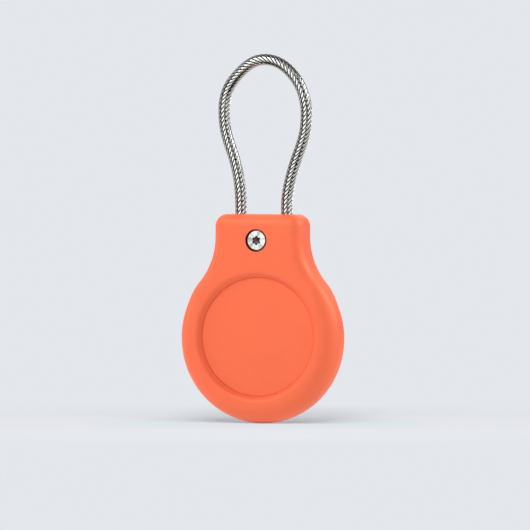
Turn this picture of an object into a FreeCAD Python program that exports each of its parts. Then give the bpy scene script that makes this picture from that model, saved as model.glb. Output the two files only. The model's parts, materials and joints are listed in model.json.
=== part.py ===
import FreeCAD, Part
import math
import os
from FreeCAD import Vector

# A trackable luggage tag: a two-part moulded case that holds a round radio tracker and
# both ends of a steel wire rope loop. One screw in the neck closes the case.
# Lengths are millimetres. X is the width, the front looks along -Y, Z is up.
# The pieces are drawn about the centre of the round part of the case, and are moved at
# the end so that Z = 0 is the underside of the loop, where the tag hangs.

# Case outline and edges
face_sink = 1.0
edge_band = 0.4
neck_edge_round = 3.0
corner_round_excess = 0.05
ring_ease_degrees = 20.0
ring_drop = 0.42
neck_half_width = 11.67
neck_rise = 9.78
neck_straight = 2.48
overrun = 1.0

# Round window with its sloping dish in both covers; the rear one clears the tracker as it swings
front_window_gap = 0.03
rear_window_gap = 0.12
dish_slope_degrees = 48.0
dish_lip_round = 1.2
dish_land = 0.05
cushion_thickness = 0.3
rear_cushion_gap = 0.05

# Cavity, moulding groove and ribs inside the case
tracker_clearance = 0.3
inner_wall = 1.2
groove_width = 1.7
outer_wall = 2.05
groove_front_wall = 2.6
groove_rib_thickness = 0.9
groove_rib_angles = (0.0, 36.0, 72.0, 108.0, 144.0, 180.0, 216.0, 324.0)
locating_rib_height = 0.8
locating_rib_clearance = 0.3
locating_rib_end_gap = 0.2
shoulder_wall = 2.0
shoulder_pocket_height = 4.6
shoulder_sleeve_wall = 0.9
shoulder_boss_wall = 3.3
shoulder_pocket_floor = 1.6

# Hook at the bottom edge, which the rear cover swings on
hook_half_width = 4.0
hook_thickness = 0.9
hook_reach = 2.3
hook_nose_height = 0.55
hook_nose_land = 0.4
hook_wall_gap = 0.25
hook_side_gap = 0.4
hook_end_gap = 0.6
hook_slope_gap = 0.28
hook_swing_room = 1.05

# Screw, washer and threaded insert
screw_drop = 6.5
screw_head_radius = 2.5
screw_head_sink = 0.3
screw_head_height = 1.3
screw_head_edge = 0.25
screw_radius = 1.25
screw_end_gap = 0.4
screw_tip_chamfer = 0.35
screw_hole_gap = 0.2
drive_radius = 0.86
drive_lobe_radius = 0.27
drive_lobe_count = 6
drive_depth = 0.8
counterbore_gap = 0.3
washer_thickness = 0.4
washer_reach = 0.05
washer_hole_gap = 0.12
insert_wall = 0.75
insert_bore_gap = 0.08
insert_end_sink = 0.2
insert_groove_width = 0.6
insert_groove_depth = 0.3
insert_bottom_room = 0.2
boss_rear_wall = 0.7
boss_wall = 0.6
boss_reach = 1.9
boss_side_gap = 0.3
boss_end_gap = 0.2

# Wire rope loop and the stop sleeves on its ends
cable_radius = 1.43
cable_hole_gap = 0.15
cable_hole_chamfer = 0.3
sleeve_wall = 0.47
sleeve_length = 6.0
sleeve_edge = 0.3
sleeve_side_gap = 0.1
sleeve_end_gap = 0.2
neck_top_wall = 1.8
arc_share = 0.45
# Points of the loop: X, and height above the top of the neck
cable_route = (
    (-5.8, -5.6), (-5.8, -0.8), (-5.87, 5.8), (-7.06, 12.5), (-9.7, 19.46), (-10.35, 23.65),
    (-10.3, 28.65), (-8.52, 32.9), (-3.75, 37.6), (0.6, 38.94), (5.4, 37.55), (9.6, 33.15),
    (11.52, 28.1), (11.65, 23.8), (11.12, 19.28), (8.25, 11.43), (6.58, 4.4), (6.42, -0.8),
    (6.42, -5.6),
)
loop_crest = 38.65

# Backing ribs in the rear cover behind the sleeves
backing_pocket_side = 0.5
backing_pocket_depth = 1.2
backing_pocket_margin = 0.3
backing_rib_half_width = 0.6

# Tracker shell
boss_height = 1.4
shoulder_width = 1.17
cap_crown = 0.3
cap_edge_round = 0.12
shoulder_round = 0.5
cap_wall = 1.1
cap_ledge_width = 1.1
cap_roof = 1.0
cap_split = 0.6
shell_split_gap = 0.05
spigot_gap = 0.1
spigot_wall = 0.8
base_floor_thickness = 0.6
base_boss_sink = 0.4
base_deck_thickness = 1.0
cell_wall = 0.8
cell_wall_height = 2.2

# Battery door, its bayonet and seal
door_lip = 0.6
door_gap = 0.1
door_thickness = 0.45
door_sink = 0.05
door_edge = 0.12
door_cell_gap = 0.2
door_skirt_gap = 0.2
door_skirt_wall = 0.6
door_tab_reach = 1.4
door_tab_room = 0.6
door_tab_thickness = 0.55
door_tab_gap = 0.1
door_tab_degrees = 24.0
door_notch_extra_degrees = 4.0
door_tab_count = 3
door_turn_degrees = 30.0
door_notch_reach = 0.15
coin_slot_length = 11.0
coin_slot_width = 1.8
coin_slot_depth = 0.22
seal_thickness = 0.6
seal_width = 0.6
seal_edge = 0.12
seal_gap = 0.05
seal_rise = 0.15

# Coin cell and its contacts
cell_radius = 10.0
cell_thickness = 3.2
cell_lid_step = 1.1
cell_lid_height = 0.5
cell_side_gap = 0.4
cell_front = 0.1
cell_floor_gap = 0.3
cell_edge = 0.3
contact_strip = 0.15
negative_length = 11.0
negative_half_width = 1.5
negative_gap = 0.02
positive_half_width = 1.5
positive_height = 2.2
positive_slot_gap = 0.2
positive_angles = (60.0, 240.0)

# Circuit board and what it carries
board_gap = 0.3
board_thickness = 0.8
can_width = 8.0
can_length = 6.5
can_height = 0.6
can_gap = 0.15
can_antenna_gap = 0.4
chip_width = 3.0
chip_height = 0.5
crystal_length = 2.0
crystal_width = 1.6
part_height = 0.45
capacitor_length = 1.0
capacitor_width = 0.5
capacitor_count = 5
capacitor_pitch = 1.3
chip_centre_x = 3.6
chip_centre_z = 5.6
crystal_centre_x = 3.4
crystal_centre_z = 2.2
capacitor_antenna_gap = 1.9
antenna_margin = 1.2
antenna_width = 0.8
antenna_thickness = 0.1
antenna_gap_degrees = 24.0
sounder_rim = 2.5
sounder_thickness = 0.2
ceramic_radius = 6.5
ceramic_thickness = 0.15
pin_radius = 0.4
ceramic_pin_reach = 3.4

# Tracker, worked out from the coin cell outwards
cell_room = cell_radius + cell_side_gap
door_skirt_inner = cell_room + cell_wall + door_skirt_gap
door_skirt_radius = door_skirt_inner + door_skirt_wall
door_radius = door_skirt_radius + door_lip
door_bore = door_radius + door_gap
tab_radius = door_skirt_radius + door_tab_reach
spigot_inner = tab_radius + door_tab_room
spigot_radius = spigot_inner + spigot_wall
cap_inner = spigot_radius + spigot_gap
tracker_radius = cap_inner + cap_wall
cap_boss_radius = tracker_radius - shoulder_width
board_radius = cap_inner - board_gap
antenna_outer = board_radius - antenna_margin
antenna_inner = antenna_outer - antenna_width
can_corner = (antenna_inner - can_antenna_gap) * math.cos(math.radians(45))
can_centre_x = can_width / 2 - can_corner
can_centre_z = can_corner - can_length / 2
capacitor_row_x = -capacitor_pitch * (capacitor_count - 1) / 2
capacitor_row_z = capacitor_antenna_gap + capacitor_length / 2 - antenna_inner
cell_lid_radius = cell_radius - cell_lid_step
sounder_radius = ceramic_radius + sounder_rim
plate_pin_reach = (ceramic_radius + sounder_radius) / 2

# Depths in the tracker, from the coin cell to the door and to the cap
door_front = cell_front + cell_thickness + door_cell_gap
door_back = door_front + door_thickness
base_back = door_back + door_sink - base_boss_sink
deck_front = base_back - base_deck_thickness
tab_back = deck_front - door_tab_gap
tab_front = tab_back - door_tab_thickness
base_floor_back = cell_front - cell_floor_gap
base_floor_front = base_floor_back - base_floor_thickness
board_front = base_floor_front - board_thickness
cap_roof_back = board_front - can_height - can_gap - ceramic_thickness - sounder_thickness
tracker_front = cap_roof_back - cap_roof - cap_crown
front_shoulder = tracker_front + boss_height
negative_rise = cell_floor_gap - contact_strip - negative_gap

# Case, worked out from the tracker
half_thickness = face_sink - tracker_front
case_thickness = 2 * half_thickness
edge_round = half_thickness - edge_band
neck_corner_round = neck_edge_round + corner_round_excess
front_window_radius = cap_boss_radius + front_window_gap
rear_window_radius = cap_boss_radius + rear_window_gap
retaining_lip_back = cushion_thickness - front_shoulder
rear_shoulder = -front_shoulder
cavity_radius = tracker_radius + tracker_clearance
groove_inner = cavity_radius + inner_wall
groove_outer = groove_inner + groove_width
groove_floor = half_thickness - groove_front_wall
groove_rib_drop = locating_rib_height + locating_rib_end_gap
case_radius = groove_outer + outer_wall
neck_height = case_radius + neck_rise - ring_drop
hook_floor = -groove_outer - ring_drop
dish_drop = ring_drop * math.sin(math.radians(ring_ease_degrees))
dish_outer = case_radius - edge_round - dish_drop - dish_land

# Flare between the neck and the round part, seen from the round part's centre
neck_reach = case_radius + neck_rise
flare_height = neck_reach - neck_corner_round - neck_straight
flare_rise = neck_half_width ** 2 + flare_height ** 2 - case_radius ** 2
flare_radius = flare_rise / (2 * (case_radius - neck_half_width))

# Sleeves and the parting plane just behind them
sleeve_radius = cable_radius + sleeve_wall
sleeve_room = sleeve_radius + sleeve_side_gap
sleeve_top = neck_height - neck_top_wall
sleeve_pocket_bottom = sleeve_top - sleeve_length - sleeve_end_gap
parting_offset = sleeve_room
backing_pocket_half_width = sleeve_radius + backing_pocket_side
hang_height = neck_height + loop_crest - cable_radius

# Screw, washer, insert and boss
screw_height = neck_height - screw_drop
screw_head_front = -half_thickness + screw_head_sink
washer_front = screw_head_front + screw_head_height
washer_back = washer_front + washer_thickness
washer_radius = screw_head_radius + washer_reach
insert_radius = screw_radius + insert_wall
insert_bore = screw_radius + insert_bore_gap
boss_radius = insert_radius + boss_wall
boss_front = parting_offset - boss_reach
boss_well_end = half_thickness - boss_rear_wall
insert_front = boss_front + insert_end_sink
insert_end = boss_well_end - insert_bottom_room
screw_tip = boss_well_end - screw_end_gap
shoulder_pocket_top = sleeve_pocket_bottom - shoulder_sleeve_wall
shoulder_pocket_bottom = shoulder_pocket_top - shoulder_pocket_height
shoulder_pocket_inside = boss_radius + boss_side_gap + shoulder_boss_wall


def rod(radius, start, end, x=0.0, z=0.0):
    """Round bar along Y between two depths."""
    return Part.makeCylinder(radius, end - start, Vector(x, start, z), Vector(0, 1, 0))


def post(radius, bottom, top, x=0.0, y=0.0):
    """Round bar along Z between two heights."""
    return Part.makeCylinder(radius, top - bottom, Vector(x, y, bottom))


def ring(inner, outer, start, end):
    """Flat ring about the Y axis."""
    return rod(outer, start, end).cut(rod(inner, start - overrun, end + overrun))


def block(low, high):
    """Box between two opposite corners."""
    size = Vector(*high) - Vector(*low)
    return Part.makeBox(size.x, size.y, size.z, Vector(*low))


def turned(points):
    """Solid turned about Y from (radius, depth) points; four numbers give an arc's middle and end."""
    edges = []
    last = Vector(points[0][0], points[0][1], 0)
    for point in points[1:] + points[:1]:
        if len(point) == 4:
            middle = Vector(point[0], point[1], 0)
            end = Vector(point[2], point[3], 0)
            edges.append(Part.Arc(last, middle, end).toShape())
        else:
            end = Vector(point[0], point[1], 0)
            edges.append(Part.LineSegment(last, end).toShape())
        last = end
    face = Part.Face(Part.Wire(edges))
    return face.revolve(Vector(0, 0, 0), Vector(0, 1, 0), 360)


def about_axis(shape, degrees):
    """Copy of a shape turned about the Y axis, positive from +Z towards +X."""
    copy = shape.copy()
    copy.rotate(Vector(0, 0, 0), Vector(0, 1, 0), degrees)
    return copy


def sector(inner, outer, start, end, degrees):
    """Part of a flat ring, centred on +Z."""
    half = math.radians(degrees / 2)
    reach = (outer + overrun) / math.cos(half)
    corners = [Vector(0, start, 0), Vector(-reach * math.sin(half), start, reach * math.cos(half)),
               Vector(reach * math.sin(half), start, reach * math.cos(half)), Vector(0, start, 0)]
    wedge = Part.Face(Part.makePolygon(corners)).extrude(Vector(0, end - start, 0))
    return wedge.common(ring(inner, outer, start, end))


def outline(inset, depth):
    """Outline of the case, drawn in by an inset, as a face at one depth."""
    radius = case_radius - inset
    half = neck_half_width - inset
    top = neck_reach - inset
    corner = max(neck_corner_round - inset, overrun)
    flare = flare_radius + inset
    flare_x = neck_half_width + flare_radius
    join = math.atan2(flare_height, flare_x)
    ease = math.radians(ring_ease_degrees)
    middle = math.pi + join / 2

    def at(x, z):
        return Vector(x, depth, z - ring_drop)

    def ring_point(side, angle):
        return at(side * radius * math.cos(angle), radius * math.sin(angle))

    def flare_point(side, angle):
        return at(side * (flare_x + flare * math.cos(angle)), flare_height + flare * math.sin(angle))

    def corner_point(side, share):
        angle = math.radians(90) * share
        return at(side * (half - corner + corner * math.cos(angle)), top - corner + corner * math.sin(angle))

    edges = [
        Part.Arc(ring_point(1, join), ring_point(1, (join + ease) / 2), ring_point(1, ease)),
        Part.Arc(ring_point(1, ease), at(0, -radius), ring_point(-1, ease)),
        Part.Arc(ring_point(-1, ease), ring_point(-1, (join + ease) / 2), ring_point(-1, join)),
        Part.Arc(ring_point(-1, join), flare_point(-1, middle), at(-half, flare_height)),
        Part.LineSegment(at(-half, flare_height), corner_point(-1, 0)),
        Part.Arc(corner_point(-1, 0), corner_point(-1, 0.5), corner_point(-1, 1)),
        Part.LineSegment(corner_point(-1, 1), corner_point(1, 1)),
        Part.Arc(corner_point(1, 1), corner_point(1, 0.5), corner_point(1, 0)),
        Part.LineSegment(corner_point(1, 0), at(half, flare_height)),
        Part.Arc(at(half, flare_height), flare_point(1, middle), ring_point(1, join)),
    ]
    return Part.Face(Part.Wire([edge.toShape() for edge in edges]))


def case_block():
    """The closed case; its edge is rounder on the round part than on the neck and the flare."""
    front = outline(0, -half_thickness).extrude(Vector(0, half_thickness, 0))

    def radius_at(point):
        return neck_edge_round if point.z > case_radius / 2 else edge_round

    document = FreeCAD.newDocument("case")
    base = document.addObject("Part::Feature", "block")
    base.Shape = front
    rounding = document.addObject("Part::Fillet", "rounding")
    rounding.Base = base
    chosen = []
    for index, edge in enumerate(front.Edges, 1):
        if edge.BoundBox.YMax < -half_thickness / 2:
            first, last = edge.Vertexes[0].Point, edge.Vertexes[-1].Point
            chosen.append((index, radius_at(first), radius_at(last)))
    rounding.Edges = chosen
    document.recompute()
    front = rounding.Shape.copy()
    FreeCAD.closeDocument(document.Name)
    rear = front.mirror(Vector(0, 0, 0), Vector(0, 1, 0))
    return front.fuse(rear).removeSplitter()


def dish_cutter(side):
    """Round window and the dish round it, on the front (-1) or the rear (1)."""
    window_radius = front_window_radius if side < 0 else rear_window_radius
    slope = math.radians(dish_slope_degrees)
    lip_centre = half_thickness - dish_lip_round
    lip_r = dish_outer - dish_lip_round * math.sin(slope)
    lip_y = lip_centre + dish_lip_round * math.cos(slope)
    mid_r = dish_outer - dish_lip_round * math.sin(slope / 2)
    mid_y = lip_centre + dish_lip_round * math.cos(slope / 2)
    foot_y = lip_y - (lip_r - window_radius) * math.tan(slope)
    outside = half_thickness + overrun
    inside = retaining_lip_back - overrun
    points = [(0, side * inside), (window_radius, side * inside), (window_radius, side * foot_y),
              (lip_r, side * lip_y), (mid_r, side * mid_y, dish_outer, side * half_thickness),
              (dish_outer, side * outside), (0, side * outside)]
    return turned(points)


def groove_ribs(depth_from, depth_to):
    """Radial ribs that cross the groove."""
    ribs = []
    for angle in groove_rib_angles:
        rib = block((-groove_rib_thickness / 2, depth_from, groove_inner - overrun),
                    (groove_rib_thickness / 2, depth_to, groove_outer + overrun))
        ribs.append(about_axis(rib, angle))
    return Part.makeCompound(ribs)


def hook_pocket():
    """Room for the rear cover's hook in the bottom wall of the front cover."""
    half = hook_half_width + hook_side_gap
    floor = hook_floor
    tip = parting_offset - hook_reach
    nose_back = tip + hook_nose_land
    recess_floor = floor - (hook_nose_height - hook_wall_gap) - hook_wall_gap
    nose_level = floor - (hook_nose_height - hook_wall_gap)
    slope_low = nose_back + hook_slope_gap + recess_floor - nose_level
    slope_high = nose_back + hook_slope_gap + floor - nose_level
    front = tip - hook_end_gap
    roof = floor + hook_wall_gap + hook_thickness + hook_swing_room
    points = [(front, roof), (front, recess_floor), (slope_low, recess_floor), (slope_high, floor),
              (parting_offset + overrun, floor), (parting_offset + overrun, roof)]
    corners = [Vector(-half, y, z) for y, z in points + points[:1]]
    return Part.Face(Part.makePolygon(corners)).extrude(Vector(2 * half, 0, 0))


def hook():
    """Tongue with a sloping nose, which the rear cover swings on."""
    low = hook_floor + hook_wall_gap
    high = low + hook_thickness
    tip = parting_offset - hook_reach
    nose_low = low - hook_nose_height
    nose_back = tip + hook_nose_land
    root = parting_offset + overrun / 2
    points = [(tip, high), (tip, nose_low), (nose_back, nose_low),
              (nose_back + hook_nose_height, low), (root, low), (root, high)]
    corners = [Vector(-hook_half_width, y, z) for y, z in points + points[:1]]
    return Part.Face(Part.makePolygon(corners)).extrude(Vector(2 * hook_half_width, 0, 0))


def shoulder_pockets():
    """Moulding pockets that keep the flare's wall even."""
    core = outline(shoulder_wall, -shoulder_pocket_floor).extrude(
        Vector(0, parting_offset + shoulder_pocket_floor + overrun, 0))
    core = core.cut(rod(groove_outer + inner_wall, -case_thickness, case_thickness))
    pockets = []
    for side in (-1, 1):
        near = side * shoulder_pocket_inside
        far = side * case_radius
        room = block((min(near, far), -case_thickness, shoulder_pocket_bottom),
                     (max(near, far), case_thickness, shoulder_pocket_top))
        pockets.append(core.common(room))
    return Part.makeCompound(pockets)


def sleeve_places():
    """X of the left and right cable ends."""
    return cable_route[0][0], cable_route[-1][0]


def sleeve_pockets():
    """Pockets for the stop sleeves, open to the rear, and the holes that the cable leaves by."""
    cuts = []
    for x in sleeve_places():
        cuts.append(post(sleeve_room, sleeve_pocket_bottom, sleeve_top, x))
        cuts.append(block((x - sleeve_room, 0, sleeve_pocket_bottom),
                          (x + sleeve_room, parting_offset + overrun, sleeve_top)))
        hole = cable_radius + cable_hole_gap
        cuts.append(post(hole, sleeve_top - overrun, neck_height + overrun, x))
        mouth = Part.makeCone(hole, hole + cable_hole_chamfer, cable_hole_chamfer,
                              Vector(x, 0, neck_height - cable_hole_chamfer))
        cuts.append(mouth)
    return cuts


def front_cover(case):
    """Deep front half: window, tracker cavity, screw seat and cable sleeve pockets."""
    keep = block((-2 * case_radius, -case_thickness, -2 * case_radius),
                 (2 * case_radius, parting_offset, 2 * case_radius))
    shape = case.common(keep)
    back = parting_offset + overrun
    cuts = [dish_cutter(-1), rod(cavity_radius, -retaining_lip_back, back)]
    space = ring(groove_inner, groove_outer, -groove_floor, back)
    cuts.append(space.cut(groove_ribs(-groove_floor - overrun, parting_offset - groove_rib_drop)))
    cuts.append(hook_pocket())
    cuts.append(shoulder_pockets())
    cuts += sleeve_pockets()
    counterbore = screw_head_radius + counterbore_gap
    cuts.append(rod(counterbore, -half_thickness - overrun, washer_back, 0, screw_height))
    cuts.append(rod(screw_radius + screw_hole_gap, washer_back - overrun, back, 0, screw_height))
    cuts.append(rod(boss_radius + boss_side_gap, boss_front - boss_end_gap, back, 0, screw_height))
    for cut in cuts:
        shape = shape.cut(cut)
    return shape


def locating_rib():
    """Low rib that centres the rear cover in the front cover's groove, open at the hook."""
    inner = groove_inner + locating_rib_clearance
    outer = groove_outer - locating_rib_clearance
    rib = ring(inner, outer, parting_offset - locating_rib_height, parting_offset + overrun / 2)
    gap = hook_half_width + hook_side_gap + overrun
    return rib.cut(block((-gap, -case_thickness, -case_radius), (gap, case_thickness, 0)))


def rear_cover(case):
    """Shallow rear half: window, insert boss, locating rib, hook and sleeve backing ribs."""
    keep = block((-2 * case_radius, parting_offset, -2 * case_radius),
                 (2 * case_radius, case_thickness, 2 * case_radius))
    shape = case.common(keep)
    shape = shape.cut(dish_cutter(1))
    shape = shape.cut(rod(cavity_radius, parting_offset - overrun, retaining_lip_back))
    for x in sleeve_places():
        pocket = block((x - backing_pocket_half_width, parting_offset - overrun,
                        sleeve_pocket_bottom + backing_pocket_margin),
                       (x + backing_pocket_half_width, parting_offset + backing_pocket_depth,
                        sleeve_top - backing_pocket_margin))
        rib = block((x - backing_rib_half_width, parting_offset, sleeve_pocket_bottom),
                    (x + backing_rib_half_width, half_thickness, sleeve_top))
        shape = shape.cut(pocket.cut(rib))
    boss = rod(boss_radius, boss_front, parting_offset + overrun, 0, screw_height)
    shape = shape.fuse([locating_rib(), hook(), boss])
    shape = shape.cut(rod(insert_radius, boss_front - overrun, boss_well_end, 0, screw_height))
    return shape.removeSplitter()


def threaded_insert():
    """Brass insert pressed into the rear cover's boss; its thread is left plain."""
    middle = (insert_front + insert_end) / 2
    body = rod(insert_radius, insert_front, insert_end, 0, screw_height)
    waist = rod(insert_radius + overrun, middle - insert_groove_width / 2, middle + insert_groove_width / 2,
                0, screw_height)
    waist = waist.cut(rod(insert_radius - insert_groove_depth, insert_front, insert_end, 0, screw_height))
    bore = rod(insert_bore, insert_front - overrun, insert_end + overrun, 0, screw_height)
    return body.cut(waist).cut(bore)


def clamp_screw():
    """Cheese-head screw with a six-lobe drive; its thread is left plain."""
    head = rod(screw_head_radius, screw_head_front, washer_front)
    front_edge = [edge for edge in head.Edges if edge.BoundBox.YMax < screw_head_front + screw_head_edge / 2]
    head = head.makeFillet(screw_head_edge, front_edge)
    shank = rod(screw_radius, washer_front, screw_tip)
    tip_edge = [edge for edge in shank.Edges if edge.BoundBox.YMin > screw_tip - screw_tip_chamfer / 2]
    shank = shank.makeChamfer(screw_tip_chamfer, tip_edge)
    drive = rod(drive_radius, screw_head_front - overrun, screw_head_front + drive_depth)
    lobes = []
    for number in range(drive_lobe_count):
        angle = math.radians(360) * number / drive_lobe_count
        lobes.append(rod(drive_lobe_radius, screw_head_front - overrun, screw_head_front + drive_depth,
                         drive_radius * math.cos(angle), drive_radius * math.sin(angle)))
    shape = head.fuse(shank).cut(drive.fuse(lobes)).removeSplitter()
    shape.translate(Vector(0, 0, screw_height))
    return shape


def screw_washer():
    """Plain washer under the screw's head."""
    outer = rod(washer_radius, washer_front, washer_back, 0, screw_height)
    hole = rod(screw_radius + washer_hole_gap, washer_front - overrun, washer_back + overrun, 0, screw_height)
    return outer.cut(hole)


def wire_cable():
    """Wire rope loop: straight runs joined by arcs that touch them."""
    points = [Vector(x, 0, neck_height + z) for x, z in cable_route]
    edges = []
    start = points[0]
    length = 0.0
    radii = []
    for before, corner, after in zip(points, points[1:], points[2:]):
        incoming = (corner - before).normalize()
        outgoing = (after - corner).normalize()
        half_turn = incoming.getAngle(outgoing) / 2
        setback = arc_share * min((corner - before).Length, (after - corner).Length)
        radius = setback / math.tan(half_turn)
        radii.append(round(radius, 1))
        arc_start = corner - incoming * setback
        arc_end = corner + outgoing * setback
        inward = (outgoing - incoming).normalize()
        middle = corner + inward * (radius / math.cos(half_turn) - radius)
        edges.append(Part.LineSegment(start, arc_start).toShape())
        edges.append(Part.Arc(arc_start, middle, arc_end).toShape())
        length += (arc_start - start).Length + radius * 2 * half_turn
        start = arc_end
    edges.append(Part.LineSegment(start, points[-1]).toShape())
    length += (points[-1] - start).Length
    path = Part.Wire(edges)
    section = Part.Wire(Part.makeCircle(cable_radius, points[0], Vector(0, 0, 1)))
    tube = path.makePipeShell([section], True, False)
    expected = math.pi * cable_radius ** 2 * length
    print("cable length", round(length, 2), "mm; arc radii", radii)
    print("cable volume", round(tube.Volume, 2), "against", round(expected, 2))
    return tube


def stop_sleeve(x):
    """Stop sleeve swaged on one end of the cable."""
    body = post(sleeve_radius, sleeve_top - sleeve_length, sleeve_top, x)
    rims = [edge for edge in body.Edges if edge.BoundBox.ZLength < sleeve_edge]
    body = body.makeChamfer(sleeve_edge, rims)
    cable_end = neck_height + cable_route[0][1]
    return body.cut(post(cable_radius, cable_end, sleeve_top + overrun, x))


def tracker_cap():
    """Domed front half of the tracker, which shows in the case's window."""
    edge_level = tracker_front + cap_crown
    crown_r = cap_boss_radius - cap_edge_round
    sphere = (crown_r ** 2 + cap_crown ** 2) / (2 * cap_crown)
    mid_r = crown_r / 2
    mid_y = tracker_front + sphere - math.sqrt(sphere ** 2 - mid_r ** 2)
    diagonal = math.radians(45)
    edge_mid_r = crown_r + cap_edge_round * math.sin(diagonal)
    edge_mid_y = edge_level + cap_edge_round - cap_edge_round * math.cos(diagonal)
    round_mid_r = tracker_radius - shoulder_round + shoulder_round * math.sin(diagonal)
    round_mid_y = front_shoulder + shoulder_round - shoulder_round * math.cos(diagonal)
    ledge_r = cap_inner - cap_ledge_width
    points = [
        (0, tracker_front), (mid_r, mid_y, crown_r, edge_level),
        (edge_mid_r, edge_mid_y, cap_boss_radius, edge_level + cap_edge_round),
        (cap_boss_radius, front_shoulder), (tracker_radius - shoulder_round, front_shoulder),
        (round_mid_r, round_mid_y, tracker_radius, front_shoulder + shoulder_round),
        (tracker_radius, cap_split), (cap_inner, cap_split), (cap_inner, board_front),
        (ledge_r, board_front), (ledge_r, cap_roof_back), (0, cap_roof_back),
    ]
    return turned(points)


def tracker_base():
    """Rear half of the tracker: floor, cell wall and the deck that the door locks under."""
    split = cap_split + shell_split_gap
    diagonal = math.radians(45)
    round_mid_r = tracker_radius - shoulder_round + shoulder_round * math.sin(diagonal)
    round_mid_y = rear_shoulder - shoulder_round + shoulder_round * math.cos(diagonal)
    outer = [
        (spigot_radius, base_floor_front), (spigot_radius, split), (tracker_radius, split),
        (tracker_radius, rear_shoulder - shoulder_round),
        (round_mid_r, round_mid_y, tracker_radius - shoulder_round, rear_shoulder),
        (cap_boss_radius, rear_shoulder), (cap_boss_radius, base_back), (door_bore, base_back),
        (door_bore, deck_front), (spigot_inner, deck_front), (spigot_inner, base_floor_back),
        (cell_room + cell_wall, base_floor_back), (cell_room + cell_wall, base_floor_back + cell_wall_height),
        (cell_room, base_floor_back + cell_wall_height), (cell_room, base_floor_back),
        (0, base_floor_back), (0, base_floor_front),
    ]
    shape = turned(outer)
    notch = sector(door_bore - overrun, tab_radius + door_notch_reach, deck_front - overrun,
                   base_back + overrun, door_tab_degrees + door_notch_extra_degrees)
    for number in range(door_tab_count):
        shape = shape.cut(about_axis(notch, 360 / door_tab_count * number + door_turn_degrees))
    for angle in positive_angles:
        shape = shape.cut(about_axis(positive_slot(), angle))
    slot = block((-negative_half_width - positive_slot_gap, base_floor_front - overrun,
                  -negative_length / 2 - positive_slot_gap),
                 (negative_half_width + positive_slot_gap, base_floor_back + overrun,
                  -negative_length / 2 + contact_strip + positive_slot_gap))
    return shape.cut(slot)


def positive_slot():
    """Slot in the cell wall and the floor for a side contact, on +Z."""
    half = positive_half_width + positive_slot_gap
    wall = block((-half, base_floor_back, cell_radius), (half, base_floor_back + cell_wall_height + overrun,
                 cell_room + cell_wall + overrun))
    floor = block((-half, base_floor_front - overrun, cell_radius),
                  (half, base_floor_back + overrun, cell_radius + 2 * contact_strip + 2 * positive_slot_gap))
    return wall.fuse(floor)


def front_cushion_ring():
    """Soft ring between the case's front lip and the tracker's shoulder."""
    return ring(front_window_radius, tracker_radius - shoulder_round, -retaining_lip_back, front_shoulder)


def rear_cushion_ring():
    """Soft ring on the rear cover's lip."""
    outer = tracker_radius - shoulder_round
    return ring(rear_window_radius, outer, rear_shoulder + rear_cushion_gap, retaining_lip_back)


def battery_door():
    """Turned steel door with three bayonet tabs and a coin slot."""
    points = [(0, door_front), (door_skirt_inner, door_front), (door_skirt_inner, tab_front),
              (door_skirt_radius, tab_front), (door_skirt_radius, door_front), (door_radius, door_front),
              (door_radius, door_back - door_edge), (door_radius - door_edge, door_back), (0, door_back)]
    shape = turned(points)
    tab = sector(door_skirt_radius - door_skirt_wall / 2, tab_radius, tab_front, tab_back, door_tab_degrees)
    tabs = [about_axis(tab, 360 / door_tab_count * number) for number in range(door_tab_count)]
    half = coin_slot_width / 2
    reach = coin_slot_length / 2 - half
    slot = block((-reach, door_back - coin_slot_depth, -half), (reach, door_back + overrun, half))
    ends = [rod(half, door_back - coin_slot_depth, door_back + overrun, side * reach) for side in (-1, 1)]
    return shape.fuse(tabs).cut(slot.fuse(ends)).removeSplitter()


def door_seal():
    """Lathe-cut rubber ring round the door's skirt, on the deck's step."""
    inner = door_skirt_radius + seal_gap
    outer = inner + seal_width
    front = deck_front + seal_rise
    back = front + seal_thickness
    points = [(inner, front + seal_edge), (inner + seal_edge, front), (outer - seal_edge, front),
              (outer, front + seal_edge), (outer, back - seal_edge), (outer - seal_edge, back),
              (inner + seal_edge, back), (inner, back - seal_edge)]
    return turned(points)


def coin_cell():
    """Coin cell: can to the rear, smaller lid to the front."""
    back = cell_front + cell_thickness
    can_front = cell_front + cell_lid_height
    points = [(0, cell_front), (cell_lid_radius, cell_front), (cell_lid_radius, can_front),
              (cell_radius - cell_edge, can_front), (cell_radius, can_front + cell_edge),
              (cell_radius, back - cell_edge), (cell_radius - cell_edge, back), (0, back)]
    return turned(points)


def negative_contact():
    """Bowed spring strip under the cell, with a leg down to the board."""
    half = negative_length / 2
    low = base_floor_back
    top = low + negative_rise
    leg = base_floor_front

    def at(y, z):
        return Vector(-negative_half_width, y, z)

    edges = [
        Part.LineSegment(at(leg, -half), at(low + contact_strip, -half)).toShape(),
        Part.Arc(at(low + contact_strip, -half), at(top + contact_strip, 0),
                 at(low + contact_strip, half)).toShape(),
        Part.LineSegment(at(low + contact_strip, half), at(low, half)).toShape(),
        Part.Arc(at(low, half), at(top, 0), at(low, -half + contact_strip)).toShape(),
        Part.LineSegment(at(low, -half + contact_strip), at(leg, -half + contact_strip)).toShape(),
        Part.LineSegment(at(leg, -half + contact_strip), at(leg, -half)).toShape(),
    ]
    return Part.Face(Part.Wire(edges)).extrude(Vector(2 * negative_half_width, 0, 0))


def positive_contacts():
    """Two side leaves that touch the can, each with a foot on the board."""
    near = cell_radius + positive_slot_gap / 2
    leaf = block((-positive_half_width, base_floor_front, near),
                 (positive_half_width, base_floor_back + positive_height, near + contact_strip))
    return Part.makeCompound([about_axis(leaf, angle) for angle in positive_angles])


def circuit_board():
    """Round board clamped between the cap's ledge and the base."""
    return rod(board_radius, board_front, base_floor_front)


def on_board(width, length, height, x, z):
    """Part that lies on the front of the board."""
    low = (x - width / 2, board_front - height, z - length / 2)
    high = (x + width / 2, board_front, z + length / 2)
    return block(low, high)


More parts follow.
